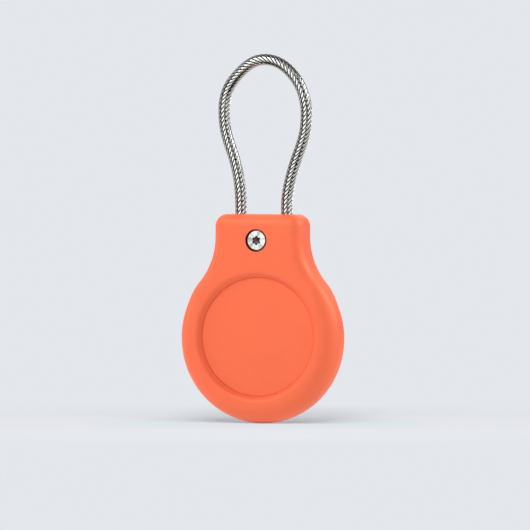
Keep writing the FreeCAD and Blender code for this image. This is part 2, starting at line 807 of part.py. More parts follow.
def shield_can():
    """Steel can over the radio."""
    can = on_board(can_width, can_length, can_height, can_centre_x, can_centre_z)
    corners = [edge for edge in can.Edges if edge.BoundBox.YLength > can_height / 2]
    return can.makeFillet(can_height / 2, corners)


def board_components():
    """Motion chip, crystal and a row of capacitors."""
    pieces = [on_board(chip_width, chip_width, chip_height, chip_centre_x, chip_centre_z),
              on_board(crystal_length, crystal_width, part_height, crystal_centre_x, crystal_centre_z)]
    for number in range(capacitor_count):
        pieces.append(on_board(capacitor_width, capacitor_length, part_height,
                               capacitor_row_x + capacitor_pitch * number, capacitor_row_z))
    return Part.makeCompound(pieces)


def antenna_ring():
    """Open copper ring on the board's rim."""
    whole = ring(antenna_inner, antenna_outer, board_front - antenna_thickness, board_front)
    gap = sector(antenna_inner - overrun, antenna_outer + overrun,
                 board_front - antenna_thickness - overrun, board_front + overrun, antenna_gap_degrees)
    return whole.cut(gap)


def sounder_plate():
    """Brass disc glued under the cap."""
    return rod(sounder_radius, cap_roof_back, cap_roof_back + sounder_thickness)


def sounder_ceramic():
    """Ceramic disc on the brass disc."""
    front = cap_roof_back + sounder_thickness
    return rod(ceramic_radius, front, front + ceramic_thickness)


def sounder_contacts():
    """Two pins from the board to the sounder."""
    plate_back = cap_roof_back + sounder_thickness
    ceramic_pin = rod(pin_radius, plate_back + ceramic_thickness, board_front, 0, -ceramic_pin_reach)
    plate_pin = rod(pin_radius, plate_back, board_front, plate_pin_reach)
    return Part.makeCompound([ceramic_pin, plate_pin])


def build():
    """Every piece by its node name."""
    case = case_block()
    left, right = sleeve_places()
    return {
        "front_cover": front_cover(case),
        "rear_cover": rear_cover(case),
        "threaded_insert": threaded_insert(),
        "clamp_screw": clamp_screw(),
        "screw_washer": screw_washer(),
        "wire_cable": wire_cable(),
        "left_sleeve": stop_sleeve(left),
        "right_sleeve": stop_sleeve(right),
        "front_cushion_ring": front_cushion_ring(),
        "rear_cushion_ring": rear_cushion_ring(),
        "tracker_cap": tracker_cap(),
        "tracker_base": tracker_base(),
        "battery_door": battery_door(),
        "door_seal": door_seal(),
        "coin_cell": coin_cell(),
        "negative_contact": negative_contact(),
        "positive_contacts": positive_contacts(),
        "circuit_board": circuit_board(),
        "shield_can": shield_can(),
        "board_components": board_components(),
        "antenna_ring": antenna_ring(),
        "sounder_plate": sounder_plate(),
        "sounder_ceramic": sounder_ceramic(),
        "sounder_contacts": sounder_contacts(),
    }


os.makedirs("parts", exist_ok=True)
for name, shape in build().items():
    shape.translate(Vector(0, 0, -hang_height))
    print(name, len(shape.Solids), "solids", shape.isValid(), round(shape.Volume, 2), "mm3")
    shape.exportStep("parts/" + name + ".step")
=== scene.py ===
import json
import math

import bmesh
import bpy
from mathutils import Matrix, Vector

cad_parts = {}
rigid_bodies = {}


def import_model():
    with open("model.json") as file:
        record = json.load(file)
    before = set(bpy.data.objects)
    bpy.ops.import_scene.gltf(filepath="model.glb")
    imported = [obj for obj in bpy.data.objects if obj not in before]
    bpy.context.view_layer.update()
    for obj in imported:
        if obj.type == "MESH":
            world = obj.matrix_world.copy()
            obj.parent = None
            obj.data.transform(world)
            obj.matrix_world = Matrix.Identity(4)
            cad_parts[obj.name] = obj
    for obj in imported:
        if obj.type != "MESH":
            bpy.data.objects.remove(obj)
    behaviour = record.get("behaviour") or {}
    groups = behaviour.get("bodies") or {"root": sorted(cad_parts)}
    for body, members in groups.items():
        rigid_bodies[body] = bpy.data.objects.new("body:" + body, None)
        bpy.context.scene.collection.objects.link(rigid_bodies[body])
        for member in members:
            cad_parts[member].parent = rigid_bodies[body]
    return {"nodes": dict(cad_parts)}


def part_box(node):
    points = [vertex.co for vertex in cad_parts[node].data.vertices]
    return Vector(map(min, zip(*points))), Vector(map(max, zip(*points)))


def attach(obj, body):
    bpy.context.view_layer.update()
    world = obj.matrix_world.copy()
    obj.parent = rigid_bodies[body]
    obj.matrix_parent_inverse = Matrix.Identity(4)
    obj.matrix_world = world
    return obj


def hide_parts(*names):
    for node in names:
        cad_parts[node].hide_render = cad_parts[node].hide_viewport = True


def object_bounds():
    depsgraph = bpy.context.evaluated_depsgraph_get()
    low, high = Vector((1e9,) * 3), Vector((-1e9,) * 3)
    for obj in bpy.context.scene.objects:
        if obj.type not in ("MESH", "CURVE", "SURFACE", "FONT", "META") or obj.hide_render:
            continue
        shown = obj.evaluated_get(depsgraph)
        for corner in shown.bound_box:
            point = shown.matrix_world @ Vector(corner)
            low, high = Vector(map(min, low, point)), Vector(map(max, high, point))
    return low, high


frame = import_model()
cad_low, cad_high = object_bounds()

bl_info = {
    "name": "Trackable Luggage Tag",
    "version": (1, 0, 0),
    "blender": (4, 5, 0),
    "location": "3D View > Sidebar > Luggage Tag",
    "description": "Dresses the luggage tag: moulded case, tracker, screw and wire rope loop",
    "category": "Object",
}


def linear(colour):
    """Linear red, green, blue and alpha of an sRGB hex colour."""
    channels = [int(colour[start:start + 2], 16) / 255 for start in (1, 3, 5)]
    return [c / 12.92 if c <= 0.04045 else ((c + 0.055) / 1.055) ** 2.4 for c in channels] + [1.0]


def node_of(name):
    """Mesh object of a CAD node."""
    return frame["nodes"][name]


# Places taken from the frame
HEAD_LOW, HEAD_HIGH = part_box("clamp_screw")
WASHER_LOW, WASHER_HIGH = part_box("screw_washer")
CAP_LOW, CAP_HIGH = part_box("tracker_cap")
INSERT_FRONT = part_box("threaded_insert")[0].y
DOOR_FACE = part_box("battery_door")[1].y
SCREW_HEIGHT = (HEAD_LOW.z + HEAD_HIGH.z) / 2
TRACKER_HEIGHT = (CAP_LOW.z + CAP_HIGH.z) / 2

# Top of the neck, where the rope leaves it
NECK_TOP = -0.03722

# Corners of the floor and of a card, in halves of their width and height
CORNERS = ((-1, -1), (1, -1), (1, 1), (-1, 1))

# Points of the loop: X, and height above the top of the neck
CABLE_ROUTE = (
    (-0.0058, -0.0056), (-0.0058, -0.0008), (-0.00587, 0.0058), (-0.00706, 0.0125), (-0.0097, 0.01946),
    (-0.01035, 0.02365), (-0.0103, 0.02865), (-0.00852, 0.0329), (-0.00375, 0.0376), (0.0006, 0.03894),
    (0.0054, 0.03755), (0.0096, 0.03315), (0.01152, 0.0281), (0.01165, 0.0238), (0.01112, 0.01928),
    (0.00802, 0.01143), (0.00634, 0.0044), (0.00642, -0.0008), (0.00642, -0.0056),
)


# Span that most of a noise's values lie in
NOISE_SPAN = {"From Min": 0.3, "From Max": 0.7}


def add_node(tree, kind, sockets=None, **settings):
    """New node with its settings, its sockets set to a value or linked to another node's output.
    A node given in place of its output stands for the first one that it has in use."""
    node = tree.nodes.new(kind)
    for name, value in settings.items():
        setattr(node, name, value)
    for key, value in (sockets or {}).items():
        if isinstance(value, bpy.types.Node):
            value = next(output for output in value.outputs if output.enabled)
        if isinstance(value, bpy.types.NodeSocket):
            tree.links.new(value, node.inputs[key])
        else:
            node.inputs[key].default_value = value
    return node


def cleared_tree(holder):
    """Empty node tree of a new material or world."""
    holder.use_nodes = True
    holder.node_tree.nodes.clear()
    return holder.node_tree


def start_material(name):
    """New node material, its tree and the Object coordinates."""
    material = bpy.data.materials.new(name)
    tree = cleared_tree(material)
    place = add_node(tree, "ShaderNodeTexCoord")
    return material, tree, place.outputs["Object"]


def end_material(material, tree, sockets):
    """Closes a material with its surface shader."""
    shader = add_node(tree, "ShaderNodeBsdfPrincipled", sockets)
    add_node(tree, "ShaderNodeOutputMaterial", {"Surface": shader})
    return material


def scaled(colour, factor):
    """Colour made lighter or darker."""
    return [min(1.0, channel * factor) for channel in list(colour)[:3]] + [1.0]


def mottled(tree, place, width, detail, first, second):
    """Noise of this width, and a mix of two colours that follows it."""
    noise = add_node(tree, "ShaderNodeTexNoise", {"Vector": place, "Scale": 1 / width, "Detail": detail})
    share = add_node(tree, "ShaderNodeMapRange", {"Value": noise, **NOISE_SPAN})
    return noise, add_node(tree, "ShaderNodeMix", {0: share, 6: first, 7: second}, data_type="RGBA")


def paint_shade(tree, unshaded, shade_colour, limits):
    """Colour with painted shade wherever every value is below its limits, between which the shade fades
    out.
    """
    share = 1.0
    for value, start, end in limits:
        below = add_node(tree, "ShaderNodeMapRange", {
            "Value": value, "From Min": start, "From Max": end, "To Min": 1.0, "To Max": 0.0})
        share = add_node(tree, "ShaderNodeMath", {0: share, 1: below}, operation="MULTIPLY")
    return add_node(tree, "ShaderNodeMix", {0: share, 6: unshaded, 7: shade_colour}, data_type="RGBA")


# Case and tracker plastics

def satin_moulded_abs(name, colour, grain, well=None):
    """Dyed ABS from a spark-eroded mould: an even satin surface with soft, wide highlights.
    The mould's grain is about 0.03 mm and is drawn coarser, so that it just breaks up the shine.
    Painted shade darkens the well round a screw, given as its height, radius and depth along Y."""
    material, tree, place = start_material(name)
    surface = mottled(tree, place, 0.011, 2.0, colour, scaled(colour, 0.965))[1]
    fine = add_node(tree, "ShaderNodeTexNoise", {"Vector": place, "Scale": 1 / grain, "Detail": 3.0})
    if well:
        height, radius, floor = well
        apart = add_node(tree, "ShaderNodeSeparateXYZ", {"Vector": place})
        flat = add_node(tree, "ShaderNodeCombineXYZ", {"X": apart.outputs["X"], "Z": apart.outputs["Z"]})
        reach = add_node(tree, "ShaderNodeVectorMath", {0: flat, 1: (0.0, 0.0, height)},
                         operation="DISTANCE")
        # Painted shade: the counterbore's wall round the screw is drawn near black.
        surface = paint_shade(tree, surface, linear("#1E100C"), (
            (reach, radius - 0.00002, radius + 0.00006), (apart.outputs["Y"], floor, floor + 0.0001)))
    gloss = add_node(tree, "ShaderNodeMapRange", {
        "Value": fine, **NOISE_SPAN, "To Min": 0.43, "To Max": 0.50})
    relief = add_node(tree, "ShaderNodeBump", {"Height": fine, "Strength": 0.22, "Distance": 0.00003})
    return end_material(material, tree, {
        "Base Color": surface, "Roughness": gloss, "Normal": relief, "IOR": 1.54,
        "Specular IOR Level": 0.6, "Specular Tint": linear("#FFDAA0")})


def speckled(name, colour, speck, width, detail, roughness, ior, strength, depth):
    """Material that a fine noise speckles with a second colour and roughens."""
    material, tree, place = start_material(name)
    fine, surface = mottled(tree, place, width, detail, colour, speck)
    relief = add_node(tree, "ShaderNodeBump", {
        "Height": fine, "Strength": strength, "Distance": depth})
    return end_material(material, tree, {
        "Base Color": surface, "Roughness": roughness, "Normal": relief, "IOR": ior})


def matte_dark_abs(name, colour):
    """Carbon-black ABS with a coarse mould texture: dull, with faint grey flecks where light grazes.
    The texture is about 0.1 mm wide, drawn at 0.4 mm so that it shows."""
    return speckled(name, colour, scaled(colour, 1.5), width=0.0004, detail=4.0, roughness=0.62,
                    ior=1.54, strength=0.5, depth=0.00005)


def soft_rubber(name, colour):
    """Moulded silicone rubber: dull black that greys slightly with dust and handling.
    Its fine skin is drawn at 0.25 mm, so that it shows."""
    material, tree, place = start_material(name)
    dust = add_node(tree, "ShaderNodeTexNoise", {"Vector": place, "Scale": 1 / 0.0015, "Detail": 5.0})
    fine = add_node(tree, "ShaderNodeTexNoise", {"Vector": place, "Scale": 1 / 0.00025, "Detail": 2.0})
    share = add_node(tree, "ShaderNodeMapRange", {
        "Value": dust, "From Min": 0.45, "From Max": 0.75, "To Max": 0.8})
    surface = add_node(tree, "ShaderNodeMix", {
        0: share, 6: colour, 7: linear("#4A4A48")}, data_type="RGBA")
    relief = add_node(tree, "ShaderNodeBump", {"Height": fine, "Strength": 0.35, "Distance": 0.00003})
    return end_material(material, tree, {
        "Base Color": surface, "Roughness": 0.78, "Normal": relief, "IOR": 1.43})


# Metals

def turned_metal(name, colour, dark, spacing, centre, roughness, strength=0.5, spread=0.7, spoke_shade=0.0,
                 slot=None):
    """Metal faced on a lathe: fine rings round its axis, which spread the light across them into bright
    and dark sectors, with dark spokes painted into the colour, partly where the tool chattered and partly
    as painted reflection of those dark sectors. The tool marks are about 0.04 mm apart and are drawn as
    far apart as spacing, so that they show. Punched places, where the piece's "recess" attribute is 1,
    are painted dark as shade, and so is a slot sunk in the face, given as the face's Y and the slot's
    reach."""
    material, tree, place = start_material(name)
    centred = add_node(tree, "ShaderNodeMapping", {"Vector": place, "Location": [-c for c in centre]})
    # The ring pattern has 20 radians to a unit
    rings = add_node(tree, "ShaderNodeTexWave", {
        "Vector": centred, "Scale": math.tau / 20 / spacing, "Distortion": 0.6,
        "Detail": 2.0, "Detail Scale": 3.0}, wave_type="RINGS", rings_direction="Y")
    smudge, surface = mottled(tree, place, 0.006, 5.0, colour, dark)
    across = add_node(tree, "ShaderNodeVectorMath", {0: centred, 1: (1.0, 0.0, 1.0)},
                      operation="MULTIPLY")
    heading = add_node(tree, "ShaderNodeVectorMath", {0: across}, operation="NORMALIZE")
    # Dark spokes in the colour by angle round the axis: partly tool chatter, partly painted reflection of
    # the face's dark sectors.
    spokes = add_node(tree, "ShaderNodeTexNoise", {"Vector": heading, "Scale": 2.6, "Detail": 3.0})
    marked = add_node(tree, "ShaderNodeMapRange", {
        "Value": spokes, "From Min": 0.42, "From Max": 0.62, "To Max": spoke_shade})
    surface = add_node(tree, "ShaderNodeMix", {
        0: marked, 6: surface, 7: scaled(dark, 0.35)}, data_type="RGBA")
    # Painted shade: where the "recess" attribute is 1, the steel is drawn dark grey.
    recess = add_node(tree, "ShaderNodeAttribute", attribute_name="recess")
    surface = add_node(tree, "ShaderNodeMix", {
        0: recess.outputs["Fac"], 6: surface, 7: linear("#565452")}, data_type="RGBA")
    if slot:
        face, reach = slot
        apart = add_node(tree, "ShaderNodeSeparateXYZ", {"Vector": place})
        away = add_node(tree, "ShaderNodeVectorMath", {0: across}, operation="LENGTH")
        # Painted shade: the floor of a slot sunk below the face is drawn much darker.
        surface = paint_shade(tree, surface, scaled(dark, 0.3), (
            (apart.outputs["Y"], face - 0.00008, face - 0.00002), (away, reach, reach + 0.0001)))
    gloss = add_node(tree, "ShaderNodeMapRange", {
        "Value": smudge, **NOISE_SPAN, "To Min": roughness, "To Max": roughness + 0.06})
    relief = add_node(tree, "ShaderNodeBump", {
        "Height": rings.outputs["Fac"], "Strength": strength, "Distance": spacing * 0.0159})
    return end_material(material, tree, {
        "Base Color": surface, "Metallic": 1.0, "Roughness": gloss,
        "Normal": relief, "Anisotropic": spread, "Tangent": across})


def rolled_metal(name, colour, dark, roughness):
    """Rolled sheet metal: faint streaks along the rolling direction, 0.1 mm wide and 1.2 mm long, and
    small dull patches from handling."""
    material, tree, place = start_material(name)
    along = add_node(tree, "ShaderNodeMapping", {"Vector": place, "Scale": (12.0, 12.0, 1.0)})
    streaks = add_node(tree, "ShaderNodeTexNoise", {
        "Vector": along, "Scale": 1 / 0.0012, "Detail": 4.0})
    surface = mottled(tree, place, 0.003, 5.0, colour, dark)[1]
    gloss = add_node(tree, "ShaderNodeMapRange", {
        "Value": streaks, **NOISE_SPAN, "To Min": roughness, "To Max": roughness + 0.14})
    relief = add_node(tree, "ShaderNodeBump", {
        "Height": streaks, "Strength": 0.25, "Distance": 0.00002})
    return end_material(material, tree, {
        "Base Color": surface, "Metallic": 1.0, "Roughness": gloss, "Normal": relief})


def drawn_wire_steel(name, colour, groove_shade_colour):
    """Bright stainless wire, drawn and laid into a rope: mirror-like crests, rolled flat outside, whose
    shine varies a little with the drawing, and grooves and core painted near black, partly because the
    lay is greased and partly as painted shade."""
    material, tree, place = start_material(name)
    depth = add_node(tree, "ShaderNodeAttribute", attribute_name="groove_depth")
    drawing = add_node(tree, "ShaderNodeTexNoise", {"Vector": place, "Scale": 1 / 0.00035, "Detail": 3.0})
    # Painted shade with the lay's greasing: the deeper below the crests, the nearer black.
    groove_shade = add_node(tree, "ShaderNodeMapRange", {
        "Value": depth.outputs["Fac"], "From Min": 0.2, "From Max": 0.6})
    surface = add_node(tree, "ShaderNodeMix", {
        0: groove_shade, 6: colour, 7: groove_shade_colour}, data_type="RGBA")
    gloss = add_node(tree, "ShaderNodeMapRange", {
        "Value": drawing, **NOISE_SPAN, "To Min": 0.08, "To Max": 0.15})
    return end_material(material, tree, {"Base Color": surface, "Metallic": 1.0, "Roughness": gloss})


# Electrical parts

def solder_mask_board(name, mask, copper):
    """Glass-epoxy board under green solder mask: raised traces show lighter, with small vias."""
    material, tree, place = start_material(name)
    turned = add_node(tree, "ShaderNodeMapping", {"Vector": place, "Rotation": (math.radians(90), 0, 0)})
    tracks = add_node(tree, "ShaderNodeTexBrick", {
        "Vector": turned, "Scale": 1 / 0.004, "Mortar Size": 0.035, "Mortar Smooth": 0.1,
        "Brick Width": 0.9, "Row Height": 0.28})
    vias = add_node(tree, "ShaderNodeTexVoronoi", {"Vector": place, "Scale": 1 / 0.0016})
    hole = add_node(tree, "ShaderNodeMapRange", {
        "Value": vias, "From Min": 0.12, "From Max": 0.16, "To Min": 1.0, "To Max": 0.0})
    under = add_node(tree, "ShaderNodeMix", {
        0: tracks.outputs["Fac"], 6: mask, 7: scaled(mask, 1.9)}, data_type="RGBA")
    surface = add_node(tree, "ShaderNodeMix", {0: hole, 6: under, 7: copper}, data_type="RGBA")
    relief = add_node(tree, "ShaderNodeBump", {
        "Height": tracks.outputs["Fac"], "Strength": 0.4, "Distance": 0.00004})
    return end_material(material, tree, {
        "Base Color": surface, "Roughness": 0.28, "Normal": relief, "IOR": 1.5})


def moulded_epoxy(name, colour):
    """Transfer-moulded chip epoxy: near black, finely pitted and dull. The pits are drawn at 0.15 mm,
    so that they show."""
    return speckled(name, colour, scaled(colour, 1.6), width=0.00015, detail=3.0, roughness=0.6,
                    ior=1.5, strength=0.4, depth=0.00002)


def fired_ceramic(name, colour):
    """Fired and silvered piezo ceramic: cream, with a slight eggshell shine. Its fine grains are
    drawn at 0.3 mm, so that they show."""
    material, tree, place = start_material(name)
    grains = add_node(tree, "ShaderNodeTexVoronoi", {"Vector": place, "Scale": 1 / 0.0003})
    share = add_node(tree, "ShaderNodeMapRange", {"Value": grains, **NOISE_SPAN, "To Max": 0.5})
    surface = add_node(tree, "ShaderNodeMix", {
        0: share, 6: colour, 7: scaled(colour, 0.85)}, data_type="RGBA")
    return end_material(material, tree, {"Base Color": surface, "Roughness": 0.42, "IOR": 1.6})


def dress(names, material):
    """Gives CAD nodes a material."""
    for name in names:
        slots = node_of(name).data.materials
        slots.clear()
        slots.append(material)


def new_piece(name, mesh):
    """Puts a finished mesh in the scene at the origin."""
    piece = bpy.data.objects.new(name, mesh)
    bpy.context.scene.collection.objects.link(piece)
    return piece


def smooth(mesh, corner=28.0):
    """Smooth faces, with a sharp edge wherever two meet at more than this angle."""
    mesh.polygons.foreach_set("use_smooth", [True] * len(mesh.polygons))
    mesh.set_sharp_from_angle(angle=math.radians(corner))
    mesh.update()


def welded_copy(name, node):
    """Piece with a CAD node's shape, welded into one skin that is shaded from its own faces."""
    shape = bmesh.new()
    shape.from_mesh(node_of(node).data)
    bmesh.ops.remove_doubles(shape, verts=shape.verts, dist=0.000002)
    mesh = bpy.data.meshes.new(name)
    shape.to_mesh(mesh)
    shape.free()
    custom = mesh.attributes.get("custom_normal")
    if custom:
        mesh.attributes.remove(custom)
    smooth(mesh)
    return new_piece(name, mesh)


def bake_modifier(name, source, tree, inputs):
    """Plain mesh piece from an object, run through a Geometry Nodes tree with these inputs."""
    modifier = source.modifiers.new("shape", "NODES")
    modifier.node_group = tree
    sockets = {item.name: item.identifier for item in tree.interface.items_tree
               if item.item_type == "SOCKET" and item.in_out == "INPUT"}
    for label, value in inputs.items():
        modifier[sockets[label]] = value
    bpy.context.view_layer.update()
    evaluated = source.evaluated_get(bpy.context.evaluated_depsgraph_get())
    mesh = bpy.data.meshes.new_from_object(evaluated)
    if not mesh.polygons:
        raise RuntimeError(name + " came out empty")
    source.modifiers.remove(modifier)
    data = source.data
    bpy.data.objects.remove(source)
    if data.users == 0:
        bpy.data.batch_remove([data])
    mesh.name = name
    return new_piece(name, mesh)


def geometry_tree(name, inputs):
    """Empty Geometry Nodes tree with its named inputs; gives the tree and its input node."""
    tree = bpy.data.node_groups.new(name, "GeometryNodeTree")
    tree.interface.new_socket("Geometry", in_out="INPUT", socket_type="NodeSocketGeometry")
    for label, kind in inputs:
        tree.interface.new_socket(label, in_out="INPUT", socket_type="NodeSocket" + kind)
    tree.interface.new_socket("Geometry", in_out="OUTPUT", socket_type="NodeSocketGeometry")
    return tree, add_node(tree, "NodeGroupInput")


def close_tree(tree, geometry, material):
    """Ends a tree with plain geometry and its material."""
    plain = add_node(tree, "GeometryNodeRealizeInstances", {"Geometry": geometry})
    painted = add_node(tree, "GeometryNodeSetMaterial", {"Geometry": plain, "Material": material})
    add_node(tree, "NodeGroupOutput", {"Geometry": painted})


def rope_tree():
    """Wires laid round a core along a curve: each is a copy of it, moved off it along a helix."""
    tree, start = geometry_tree("laid_rope", [
        ("Wire Count", "Int"), ("Wire Width", "Float"), ("Wire Depth", "Float"),
        ("Wire Rounding", "Float"), ("Lay Radius", "Float"), ("Lay Length", "Float"),
        ("Core Radius", "Float"), ("Step", "Float"), ("Material", "Material")])
    inputs = start.outputs
    line = add_node(tree, "GeometryNodeResampleCurve", {
        "Curve": inputs["Geometry"], "Length": inputs["Step"]}, mode="LENGTH")
    calm = add_node(tree, "GeometryNodeSetCurveNormal", {"Curve": line}, mode="MINIMUM_TWIST")
    copies = add_node(tree, "GeometryNodeDuplicateElements", {
        "Geometry": calm, "Amount": inputs["Wire Count"]}, domain="SPLINE")
    along = add_node(tree, "GeometryNodeSplineParameter")
    turns = add_node(tree, "ShaderNodeMath", {0: along.outputs["Length"], 1: inputs["Lay Length"]},
                     operation="DIVIDE")
    place = add_node(tree, "ShaderNodeMath", {
        0: copies.outputs["Duplicate Index"], 1: inputs["Wire Count"]}, operation="DIVIDE")
    both = add_node(tree, "ShaderNodeMath", {0: turns, 1: place}, operation="ADD")
    angle = add_node(tree, "ShaderNodeMath", {0: both, 1: math.tau}, operation="MULTIPLY")
    cosine = add_node(tree, "ShaderNodeMath", {0: angle}, operation="COSINE")
    sine = add_node(tree, "ShaderNodeMath", {0: angle}, operation="SINE")
    normal = add_node(tree, "GeometryNodeInputNormal")
    tangent = add_node(tree, "GeometryNodeInputTangent")
    side = add_node(tree, "ShaderNodeVectorMath", {0: tangent, 1: normal}, operation="CROSS_PRODUCT")
    first = add_node(tree, "ShaderNodeVectorMath", {0: normal, "Scale": cosine}, operation="SCALE")
    second = add_node(tree, "ShaderNodeVectorMath", {0: side, "Scale": sine}, operation="SCALE")
    outward = add_node(tree, "ShaderNodeVectorMath", {0: first, 1: second}, operation="ADD")
    facing = add_node(tree, "GeometryNodeSetCurveNormal", {
        "Curve": copies, "Normal": outward}, mode="FREE")
    offset = add_node(tree, "ShaderNodeVectorMath", {0: normal, "Scale": inputs["Lay Radius"]},
                      operation="SCALE")
    laid = add_node(tree, "GeometryNodeSetPosition", {"Geometry": facing, "Offset": offset})
    flat = add_node(tree, "GeometryNodeCurvePrimitiveQuadrilateral", {
        "Width": inputs["Wire Depth"], "Height": inputs["Wire Width"]})
    section = add_node(tree, "GeometryNodeFilletCurve", {
        "Curve": flat, "Radius": inputs["Wire Rounding"], "Count": 4}, mode="POLY")
    wires = add_node(tree, "GeometryNodeCurveToMesh", {
        "Curve": laid, "Profile Curve": section, "Fill Caps": True})
    core_section = add_node(tree, "GeometryNodeCurvePrimitiveCircle", {
        "Resolution": 16, "Radius": inputs["Core Radius"]})
    core = add_node(tree, "GeometryNodeCurveToMesh", {
        "Curve": calm, "Profile Curve": core_section, "Fill Caps": True})
    rope = add_node(tree, "GeometryNodeJoinGeometry")
    tree.links.new(core.outputs["Mesh"], rope.inputs["Geometry"])
    tree.links.new(wires.outputs["Mesh"], rope.inputs["Geometry"])
    axis = add_node(tree, "GeometryNodeCurveToMesh", {"Curve": calm})
    reach = add_node(tree, "GeometryNodeProximity", {"Geometry": axis}, target_element="EDGES")
    # Depth below the wires' crests, which the steel uses to paint the grooves and core dark as shade.
    crest = add_node(tree, "ShaderNodeMath", {0: inputs["Wire Depth"], 1: 0.5, 2: inputs["Lay Radius"]},
                     operation="MULTIPLY_ADD")
    depth = add_node(tree, "ShaderNodeMapRange", {
        "Value": reach.outputs["Distance"], "From Min": crest, "From Max": inputs["Lay Radius"]})
    stored = add_node(tree, "GeometryNodeStoreNamedAttribute", {
        "Geometry": rope, "Name": "groove_depth", "Value": depth})
    rounded = add_node(tree, "GeometryNodeSetShadeSmooth", {"Geometry": stored})
    close_tree(tree, rounded, inputs["Material"])
    return tree


def route_curve():
    """Centre line of the loop: one smooth spline through the neck, round the loop and back."""
    curve = bpy.data.curves.new("rope_route", "CURVE")
    curve.dimensions = "3D"
    spline = curve.splines.new("NURBS")
    spline.points.add(len(CABLE_ROUTE) - 1)
    for point, (x, rise) in zip(spline.points, CABLE_ROUTE):
        point.co = (x, 0.0, NECK_TOP + rise, 1.0)
    spline.order_u = 3
    spline.use_endpoint_u = True
    spline.resolution_u = 24
    return bpy.data.objects.new("rope_route", curve)


def thread_tree():
    """Screw thread: a ridge swept along a helix round the Y axis."""
    tree, start = geometry_tree("thread", [
        ("Turns", "Float"), ("Length", "Float"), ("Ridge Centre", "Float"), ("Ridge Radius", "Float"),
        ("Steps per Turn", "Int"), ("Start", "Vector"), ("Material", "Material")])
    inputs = start.outputs
    helix = add_node(tree, "GeometryNodeCurveSpiral", {
        "Resolution": inputs["Steps per Turn"], "Rotations": inputs["Turns"], "Height": inputs["Length"],
        "Start Radius": inputs["Ridge Centre"], "End Radius": inputs["Ridge Centre"]})
    ridge = add_node(tree, "GeometryNodeCurvePrimitiveCircle", {
        "Resolution": 6, "Radius": inputs["Ridge Radius"]})
    swept = add_node(tree, "GeometryNodeCurveToMesh", {
        "Curve": helix, "Profile Curve": ridge, "Fill Caps": True})
    turned = add_node(tree, "GeometryNodeTransform", {
        "Geometry": swept, "Translation": inputs["Start"], "Rotation": (math.radians(-90), 0, 0)})
    both = add_node(tree, "GeometryNodeJoinGeometry")
    tree.links.new(inputs["Geometry"], both.inputs["Geometry"])
    tree.links.new(turned.outputs["Geometry"], both.inputs["Geometry"])
    close_tree(tree, both, inputs["Material"])
    return tree


def lobe_reach(angle, centre_radius, lobe_radius):
    """Radius of a six-lobe recess at an angle."""
    step = math.radians(60)
    away = (angle + step / 2) % step - step / 2
    across = centre_radius * math.sin(away)
    if abs(across) < lobe_radius:
        return centre_radius * math.cos(away) + math.sqrt(lobe_radius ** 2 - across ** 2)
    return centre_radius


def lathe(stations, sides, centre):
    """Mesh turned about Y from (radius, depth) stations; a radius may be a function of the angle."""
    shape = bmesh.new()
    rows = []
    for radius, depth in stations:
        if radius == 0:
            rows.append([shape.verts.new((centre.x, depth, centre.z))])
            continue
        row = []
        for number in range(sides):
            angle = math.tau * number / sides
            reach = radius(angle) if callable(radius) else radius
            row.append(shape.verts.new((centre.x + reach * math.sin(angle), depth,
                                        centre.z + reach * math.cos(angle))))
        rows.append(row)
    for before, after in zip(rows, rows[1:]):
        for number in range(sides):
            corners = [before[number % len(before)], before[(number + 1) % len(before)],
                       after[(number + 1) % len(after)], after[number % len(after)]]
            shape.faces.new(list(dict.fromkeys(corners)))
    bmesh.ops.remove_doubles(shape, verts=shape.verts, dist=0.000001)
    bmesh.ops.recalc_face_normals(shape, faces=shape.faces)
    mesh = bpy.data.meshes.new("turned")
    shape.to_mesh(mesh)
    shape.free()
    return mesh


# Sizes and colours that a user would change

class CaseSettings(bpy.types.PropertyGroup):
    colour: bpy.props.FloatVectorProperty(
        name="Plastic", description="Colour of the moulded case and the tracker's cap", subtype="COLOR",
        size=4, min=0.0, max=1.0, default=linear("#FA6B49"))
    grain: bpy.props.FloatProperty(
        name="Grain", description="Width of the mould's grain", unit="LENGTH", precision=5,
        min=0.00005, default=0.0003)


class CableSettings(bpy.types.PropertyGroup):
    wire_count: bpy.props.IntProperty(
        name="Wires", description="Number of wires in the rope's outer layer", min=5, max=19, default=10)
    wire_width: bpy.props.FloatProperty(
        name="Wire width", description="Width of one outer wire, across its lay", unit="LENGTH",
        precision=5, default=0.00048)
    wire_depth: bpy.props.FloatProperty(
        name="Wire depth", description="Thickness of one outer wire, rolled flat outside",
        unit="LENGTH", precision=5, default=0.0005)
    lay_radius: bpy.props.FloatProperty(
        name="Lay radius", description="Distance of the outer wires from the rope's middle",
        unit="LENGTH", precision=5, default=0.00118)
    # The core is painted near black as shade by the steel's groove shading.
    core_radius: bpy.props.FloatProperty(
        name="Core radius", description="Radius of the rope's core, which shows dark between the wires",
        unit="LENGTH", precision=5, default=0.001)
    lay_length: bpy.props.FloatProperty(
        name="Lay length", description="Length of rope in which a wire goes once round", unit="LENGTH",
        precision=4, default=0.0114)
    colour: bpy.props.FloatVectorProperty(
        name="Steel", description="Colour of the rope's bright wires", subtype="COLOR", size=4,
        min=0.0, max=1.0, default=linear("#C9C8C4"))


class ScrewSettings(bpy.types.PropertyGroup):
    pitch: bpy.props.FloatProperty(
        name="Pitch", description="Distance between two turns of the thread", unit="LENGTH", precision=5,
        default=0.00045)
    colour: bpy.props.FloatVectorProperty(
        name="Steel", description="Colour of the turned screw", subtype="COLOR", size=4,
        min=0.0, max=1.0, default=linear("#D9D8D6"))


class TrackerSettings(bpy.types.PropertyGroup):
    base_colour: bpy.props.FloatVectorProperty(
        name="Base", description="Colour of the tracker's rear shell", subtype="COLOR", size=4,
        min=0.0, max=1.0, default=linear("#26272A"))
    board_colour: bpy.props.FloatVectorProperty(
        name="Board", description="Colour of the board's solder mask", subtype="COLOR", size=4,
        min=0.0, max=1.0, default=linear("#14502F"))
    door_colour: bpy.props.FloatVectorProperty(
        name="Door", description="Colour of the steel door", subtype="COLOR", size=4,
        min=0.0, max=1.0, default=linear("#D2D2D4"))


